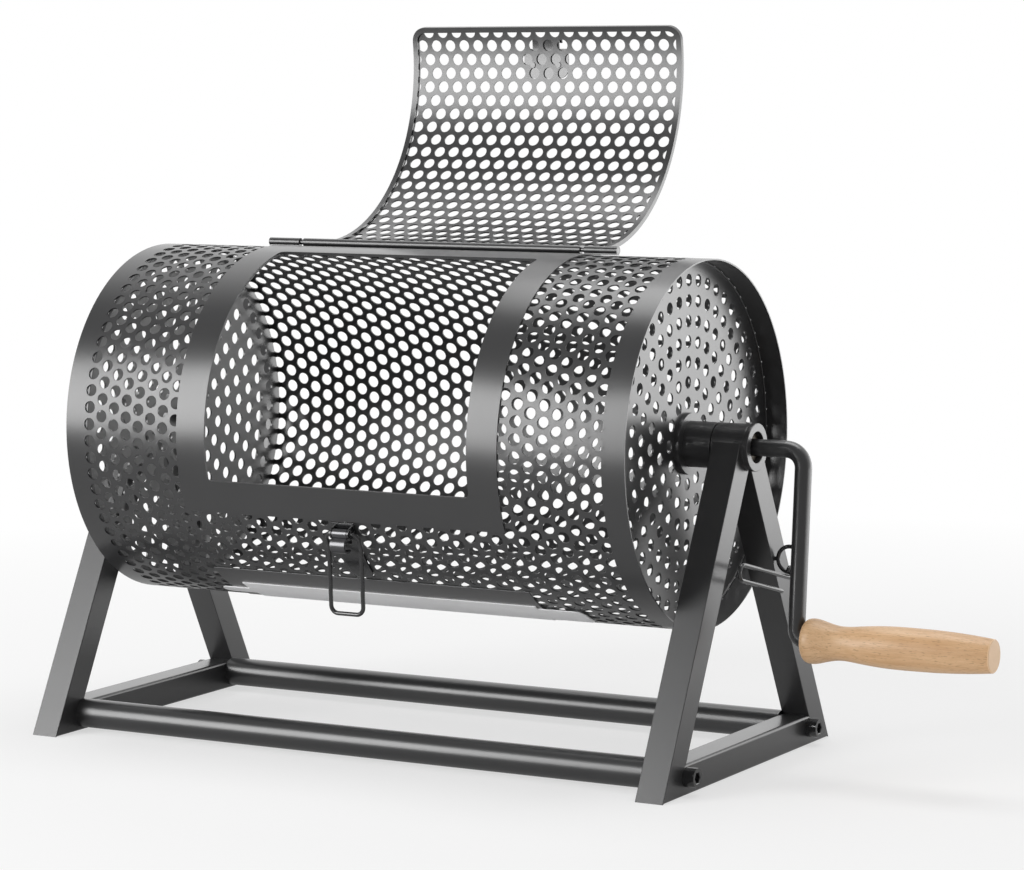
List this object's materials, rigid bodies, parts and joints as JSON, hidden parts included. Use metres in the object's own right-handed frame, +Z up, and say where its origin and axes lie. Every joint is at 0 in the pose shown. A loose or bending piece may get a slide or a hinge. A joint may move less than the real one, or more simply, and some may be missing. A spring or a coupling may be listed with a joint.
{
  "type": "raffle drum with crank",
  "caption": "Perforated steel drum on two A frames, turned by a crank with a wooden grip, with a hinged door held by a wire latch, for mixing tickets or balls.",
  "frame": {"origin": "on the floor, at the middle of the footprint box of the whole with the door open", "axes": "+X along the drum axis towards the crank, +Y to the back, where the door swings, +Z up"},
  "size_m": [0.837, 0.3816, 0.609],
  "materials": {
    "black_paint": "satin black powder coat",
    "dark_steel": "satin black",
    "latch_steel": "satin dark plating",
    "hook_steel": "glossy black plated wire",
    "bare_steel": "plain machined",
    "satin_steel": "satin",
    "bronze": "plain turned",
    "beech": "clear satin lacquer"
  },
  "bodies": {
    "stand": {"right_rear_leg": "black_paint", "right_front_leg": "black_paint", "left_rear_leg": "black_paint", "left_front_leg": "black_paint", "right_foot_bar": "black_paint", "left_foot_bar": "black_paint", "front_rail": "black_paint", "rear_rail": "black_paint", "rail_plugs": "bare_steel", "rail_bolts": "dark_steel", "right_bearing_housing": "black_paint", "left_bearing_housing": "black_paint", "right_bearing_bush": "bronze", "left_bearing_bush": "bronze", "right_housing_ring": "black_paint", "left_housing_ring": "black_paint", "hook_eye": "hook_steel"},
    "drum": {"drum_shell": "black_paint", "mouth_surround": "black_paint", "lower_band": "black_paint", "bare_plate": "satin_steel", "right_end_plate": "black_paint", "left_end_plate": "black_paint", "right_hub": "black_paint", "left_hub": "black_paint", "hub_grub_screws": "dark_steel", "left_axle": "black_paint", "crank_rod": "black_paint", "grip_retainer": "bare_steel", "right_hinge_knuckle": "black_paint", "left_hinge_knuckle": "black_paint", "latch_base": "dark_steel", "latch_pin": "dark_steel"},
    "grip": {"crank_grip": "beech"},
    "door": {"door_panel": "black_paint", "door_rim": "black_paint", "door_hinge_sleeve": "black_paint", "door_hinge_rod": "dark_steel", "keeper": "dark_steel", "keeper_rivets": "dark_steel"},
    "latch_lever": {"latch_lever": "latch_steel"},
    "latch_bail": {"latch_bail": "dark_steel"},
    "wire_hook": {"wire_hook": "hook_steel"}
  },
  "joints": [
    {"name": "drum_spin", "type": "hinge", "parent": "stand", "child": "drum", "pos_m": [-0.104, -0.03236, 0.2656], "axis": [1, 0, 0], "continuous": true},
    {"name": "grip_spin", "type": "hinge", "parent": "drum", "child": "grip", "pos_m": [0.337, -0.04702, 0.1133], "axis": [1, 0, 0], "continuous": true},
    {"name": "door_hinge", "type": "hinge", "parent": "drum", "child": "door", "pos_m": [-0.104, -0.00828, 0.42115], "axis": [1, 0, 0], "range_deg": [0, 184.5]},
    {"name": "lever_pivot", "type": "hinge", "parent": "drum", "child": "latch_lever", "pos_m": [-0.104, -0.17295, 0.19241], "axis": [-1, 0, 0], "range_deg": [0, 100]},
    {"name": "bail_pivot", "type": "hinge", "parent": "drum", "child": "latch_bail", "pos_m": [-0.104, -0.17295, 0.19241], "axis": [-1, 0, 0], "range_deg": [0, 160]},
    {"name": "hook_pivot", "type": "hinge", "parent": "stand", "child": "wire_hook", "pos_m": [0.2139, 0.01664, 0.1572], "axis": [1, 0, 0], "range_deg": [-40, 90]}
  ]
}
